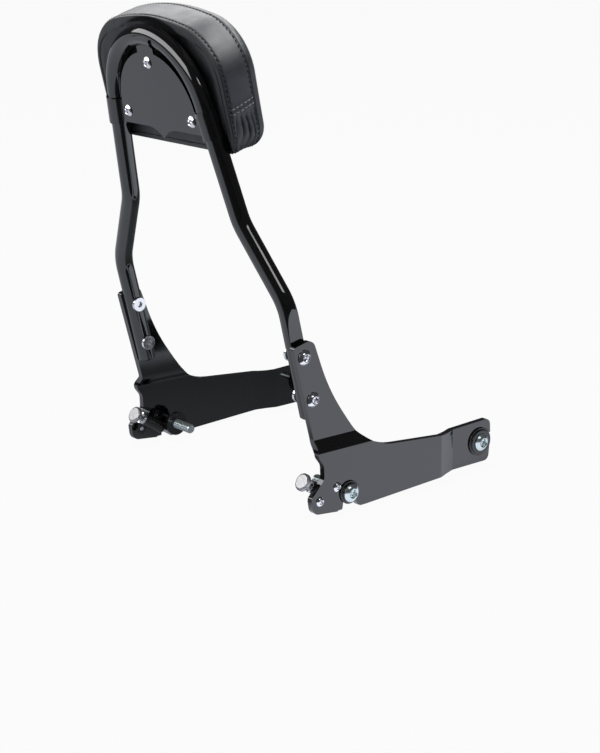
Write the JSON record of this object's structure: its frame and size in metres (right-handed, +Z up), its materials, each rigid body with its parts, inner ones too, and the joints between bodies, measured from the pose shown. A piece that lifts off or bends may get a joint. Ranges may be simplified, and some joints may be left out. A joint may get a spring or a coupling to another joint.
{
  "type": "motorcycle backrest",
  "caption": "Detachable backrest: bent bar hoop on two notched side plates, padded rest on a clamping plate, docking hardware and spring latches.",
  "frame": {"origin": "on the middle plane, on the common axis of the two rear docking bolts", "axes": "+X to the rider's right, +Y forward, +Z up"},
  "size_m": [0.3056, 0.3081, 0.4467],
  "materials": {
    "gloss_black": "gloss black powder coat",
    "vinyl": "fine grained black vinyl, satin",
    "foam": "moulded foam",
    "board": "moulded board",
    "chrome": "polished",
    "zinc": "bright zinc plate",
    "black_oxide": "satin black"
  },
  "bodies": {
    "root": {"hoop_bar": "gloss_black", "side_plate_left": "gloss_black", "side_plate_right": "gloss_black", "pad_plate": "gloss_black", "pad_cover": "vinyl", "pad_foam": "foam", "pad_base_board": "board", "pad_tee_nuts": "zinc", "pad_screws": "chrome", "leg_screws": "chrome", "leg_sleeve_nuts": "chrome", "dock_spools_rear": "black_oxide", "dock_spools_front": "black_oxide", "dock_washers_rear": "black_oxide", "dock_washers_front": "black_oxide", "dock_bolts_rear": "zinc", "dock_bolts_front": "zinc", "latch_housing_left": "black_oxide", "latch_housing_right": "black_oxide", "latch_cap_left": "chrome", "latch_cap_right": "chrome", "latch_spring_left": "zinc", "latch_spring_right": "zinc", "latch_screws": "chrome"},
    "latch_left": {"latch_pin_left": "chrome", "latch_knob_left": "chrome"},
    "latch_right": {"latch_pin_right": "chrome", "latch_knob_right": "chrome"}
  },
  "joints": [
    {"name": "latch_left_pull", "type": "slide", "parent": "root", "child": "latch_left", "axis": [0, -0.848, 0.5299], "range_m": [0, 0.012], "stiffness_N_per_m": 500, "springref_m": -0.01, "deforming": ["latch_spring_left"]},
    {"name": "latch_right_pull", "type": "slide", "parent": "root", "child": "latch_right", "axis": [0, -0.848, 0.5299], "range_m": [0, 0.012], "stiffness_N_per_m": 500, "springref_m": -0.01, "deforming": ["latch_spring_right"]}
  ]
}
